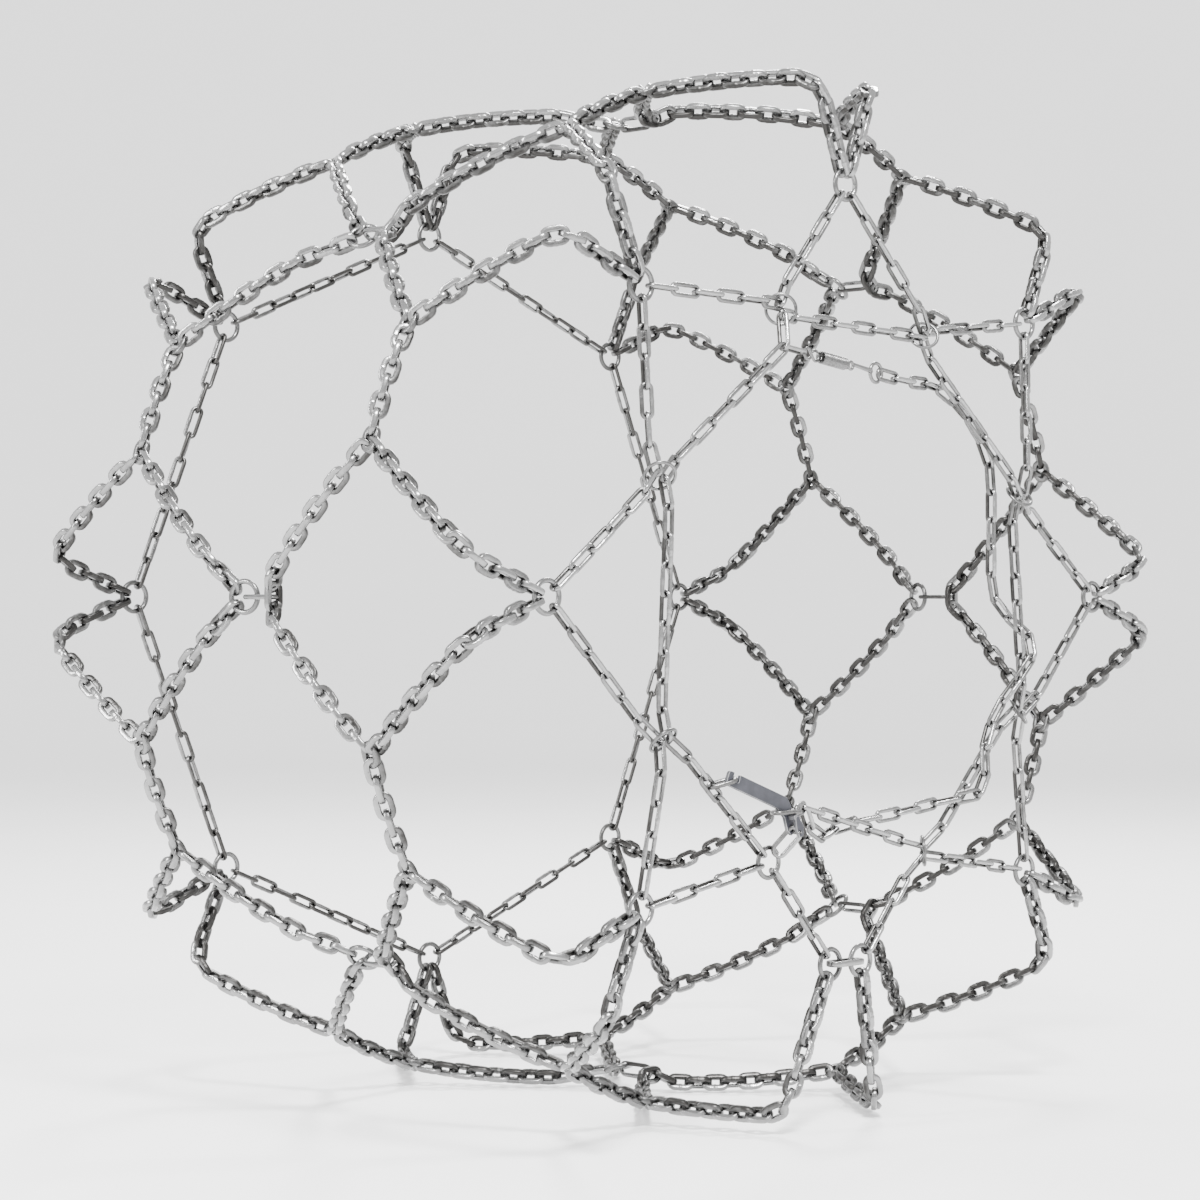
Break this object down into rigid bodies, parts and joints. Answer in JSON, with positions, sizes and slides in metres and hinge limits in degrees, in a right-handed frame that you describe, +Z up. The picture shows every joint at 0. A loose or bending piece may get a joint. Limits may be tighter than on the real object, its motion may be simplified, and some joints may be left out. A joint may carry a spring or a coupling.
{
  "type": "tire snow chain",
  "caption": "Snow chain net for a twin truck wheel: hexagonal tread chains over two tires, rings between them, a zigzag side chain and a tensioning lever.",
  "frame": {"origin": "on the axle, midway between the two tires that the net is laid round", "axes": "+Y along the axle towards the vehicle, -Y towards the outer face of the wheel, +Z up"},
  "size_m": [1.0948, 0.6988, 1.0948],
  "materials": {
    "tread_chain": "bright drop-forged square-section steel, polished by wear",
    "side_chain": "bright zinc-plated round-wire steel",
    "ring": "bright steel rings and connecting links",
    "lever": "dark slate coated pressed steel",
    "spring": "spring steel wire"
  },
  "bodies": {
    "net": {"outer_cross_1": "tread_chain", "inner_cross_1": "tread_chain", "mid_link_1": "ring", "outer_cross_2": "tread_chain", "inner_cross_2": "tread_chain", "mid_link_2": "ring", "outer_cross_3": "tread_chain", "inner_cross_3": "tread_chain", "mid_link_3": "ring", "outer_cross_4": "tread_chain", "inner_cross_4": "tread_chain", "mid_link_4": "ring", "outer_cross_5": "tread_chain", "inner_cross_5": "tread_chain", "mid_link_5": "ring", "outer_cross_6": "tread_chain", "inner_cross_6": "tread_chain", "mid_link_6": "ring", "outer_cross_7": "tread_chain", "inner_cross_7": "tread_chain", "mid_link_7": "ring", "outer_cross_8": "tread_chain", "inner_cross_8": "tread_chain", "mid_link_8": "ring", "side_chain_a": "side_chain", "side_chain_b": "side_chain", "side_chain_c": "side_chain", "side_chain_d": "side_chain", "side_chain_e": "side_chain", "side_chain_g": "side_chain", "side_chain_h": "side_chain", "side_chain_f_left": "side_chain", "side_chain_f_right": "side_chain", "tension_chain": "side_chain", "fork_link": "side_chain", "inner_side_chain": "side_chain"},
    "lever": {"lever": "lever"},
    "keeper": {"keeper_link": "side_chain"},
    "latch": {"latch_link": "side_chain"},
    "spring_set": {"s_hook": "spring", "spring": "spring"},
    "end_hook": {"end_hook": "spring"},
    "closing_link": {"closing_link": "tread_chain"},
    "shoulder_ring_1": {"shoulder_ring_1": "ring"},
    "shoulder_ring_2": {"shoulder_ring_2": "ring"},
    "shoulder_ring_3": {"shoulder_ring_3": "ring"},
    "shoulder_ring_4": {"shoulder_ring_4": "ring"},
    "shoulder_ring_6": {"shoulder_ring_6": "ring"},
    "shoulder_ring_7": {"shoulder_ring_7": "ring"},
    "shoulder_ring_8": {"shoulder_ring_8": "ring"},
    "shoulder_ring_5_left": {"shoulder_ring_5_left": "ring"},
    "shoulder_ring_5_right": {"shoulder_ring_5_right": "ring"},
    "tension_ring_a": {"tension_ring_a": "ring"},
    "tension_ring_b": {"tension_ring_b": "ring"},
    "tension_ring_c": {"tension_ring_c": "ring"},
    "tension_ring_d": {"tension_ring_d": "ring"},
    "tension_ring_e": {"tension_ring_e": "ring"},
    "tension_ring_f": {"tension_ring_f": "ring"},
    "tension_ring_g": {"tension_ring_g": "ring"},
    "tension_ring_h": {"tension_ring_h": "ring"}
  },
  "joints": [
    {"name": "lever_swing", "type": "hinge", "parent": "net", "child": "lever", "pos_m": [-0.11186, -0.351, -0.23707], "axis": [0, 1, 0], "range_deg": [0, 65]},
    {"name": "keeper_turn", "type": "hinge", "parent": "lever", "child": "keeper", "pos_m": [-0.11951, -0.351, -0.21662], "axis": [-0.309, 0, 0.9511], "range_deg": [-4, 4]},
    {"name": "latch_swing", "type": "hinge", "parent": "lever", "child": "latch", "pos_m": [-0.19489, -0.351, -0.17907], "axis": [0, 1, 0], "range_deg": [-20, 25]},
    {"name": "anchor_swing", "type": "hinge", "parent": "net", "child": "spring_set", "pos_m": [-0.117, -0.346, 0.252], "axis": [0, 0, -1], "range_deg": [0, 25]},
    {"name": "end_hook_turn", "type": "hinge", "parent": "spring_set", "child": "end_hook", "pos_m": [-0.00598, -0.33778, 0.23966], "axis": [0.9912, 0.0734, -0.1101], "range_deg": [-60, 60]},
    {"name": "closing_link_roll", "type": "hinge", "parent": "net", "child": "closing_link", "pos_m": [0, -0.326, -0.38024], "axis": [1, 0, 0], "range_deg": [-15, 15]},
    {"name": "turn_shoulder_ring_1", "type": "hinge", "parent": "net", "child": "shoulder_ring_1", "pos_m": [0, -0.326, 0.429], "axis": [0, -1, 0], "continuous": true},
    {"name": "turn_shoulder_ring_2", "type": "hinge", "parent": "net", "child": "shoulder_ring_2", "pos_m": [0.30335, -0.326, 0.30335], "axis": [0, -1, 0], "continuous": true},
    {"name": "turn_shoulder_ring_3", "type": "hinge", "parent": "net", "child": "shoulder_ring_3", "pos_m": [0.429, -0.326, 0], "axis": [0, -1, 0], "continuous": true},
    {"name": "turn_shoulder_ring_4", "type": "hinge", "parent": "net", "child": "shoulder_ring_4", "pos_m": [0.30335, -0.326, -0.30335], "axis": [0, -1, 0], "continuous": true},
    {"name": "turn_shoulder_ring_6", "type": "hinge", "parent": "net", "child": "shoulder_ring_6", "pos_m": [-0.30335, -0.326, -0.30335], "axis": [0, -1, 0], "continuous": true},
    {"name": "turn_shoulder_ring_7", "type": "hinge", "parent": "net", "child": "shoulder_ring_7", "pos_m": [-0.429, -0.326, 0], "axis": [0, -1, 0], "continuous": true},
    {"name": "turn_shoulder_ring_8", "type": "hinge", "parent": "net", "child": "shoulder_ring_8", "pos_m": [-0.30335, -0.326, 0.30335], "axis": [0, -1, 0], "continuous": true},
    {"name": "turn_shoulder_ring_5_left", "type": "hinge", "parent": "net", "child": "shoulder_ring_5_left", "pos_m": [-0.024, -0.326, -0.38024], "axis": [0, -1, 0], "continuous": true},
    {"name": "turn_shoulder_ring_5_right", "type": "hinge", "parent": "net", "child": "shoulder_ring_5_right", "pos_m": [0.024, -0.326, -0.38024], "axis": [0, -1, 0], "continuous": true},
    {"name": "turn_tension_ring_a", "type": "hinge", "parent": "net", "child": "tension_ring_a", "pos_m": [-0.10891, -0.334, 0.2913], "axis": [-0.7097, -0.7027, -0.051], "continuous": true},
    {"name": "turn_tension_ring_b", "type": "hinge", "parent": "net", "child": "tension_ring_b", "pos_m": [0.11839, -0.334, 0.27891], "axis": [-0.5499, -0.7027, 0.4515], "continuous": true},
    {"name": "turn_tension_ring_c", "type": "hinge", "parent": "net", "child": "tension_ring_c", "pos_m": [0.28471, -0.334, 0.11215], "axis": [-0.0634, -0.7027, 0.7087], "continuous": true},
    {"name": "turn_tension_ring_d", "type": "hinge", "parent": "net", "child": "tension_ring_d", "pos_m": [0.2832, -0.334, -0.12609], "axis": [0.461, -0.7027, 0.5419], "continuous": true},
    {"name": "turn_tension_ring_e", "type": "hinge", "parent": "net", "child": "tension_ring_e", "pos_m": [0.11763, -0.334, -0.27053], "axis": [0.706, -0.7027, 0.0881], "continuous": true},
    {"name": "turn_tension_ring_f", "type": "hinge", "parent": "net", "child": "tension_ring_f", "pos_m": [-0.12786, -0.334, -0.26807], "axis": [0, -1, 0], "continuous": true},
    {"name": "turn_tension_ring_g", "type": "hinge", "parent": "net", "child": "tension_ring_g", "pos_m": [-0.28011, -0.334, -0.13966], "axis": [0.1249, -0.7027, -0.7005], "continuous": true},
    {"name": "turn_tension_ring_h", "type": "hinge", "parent": "net", "child": "tension_ring_h", "pos_m": [-0.28456, -0.334, 0.11787], "axis": [-0.4467, -0.7027, -0.5538], "continuous": true}
  ]
}
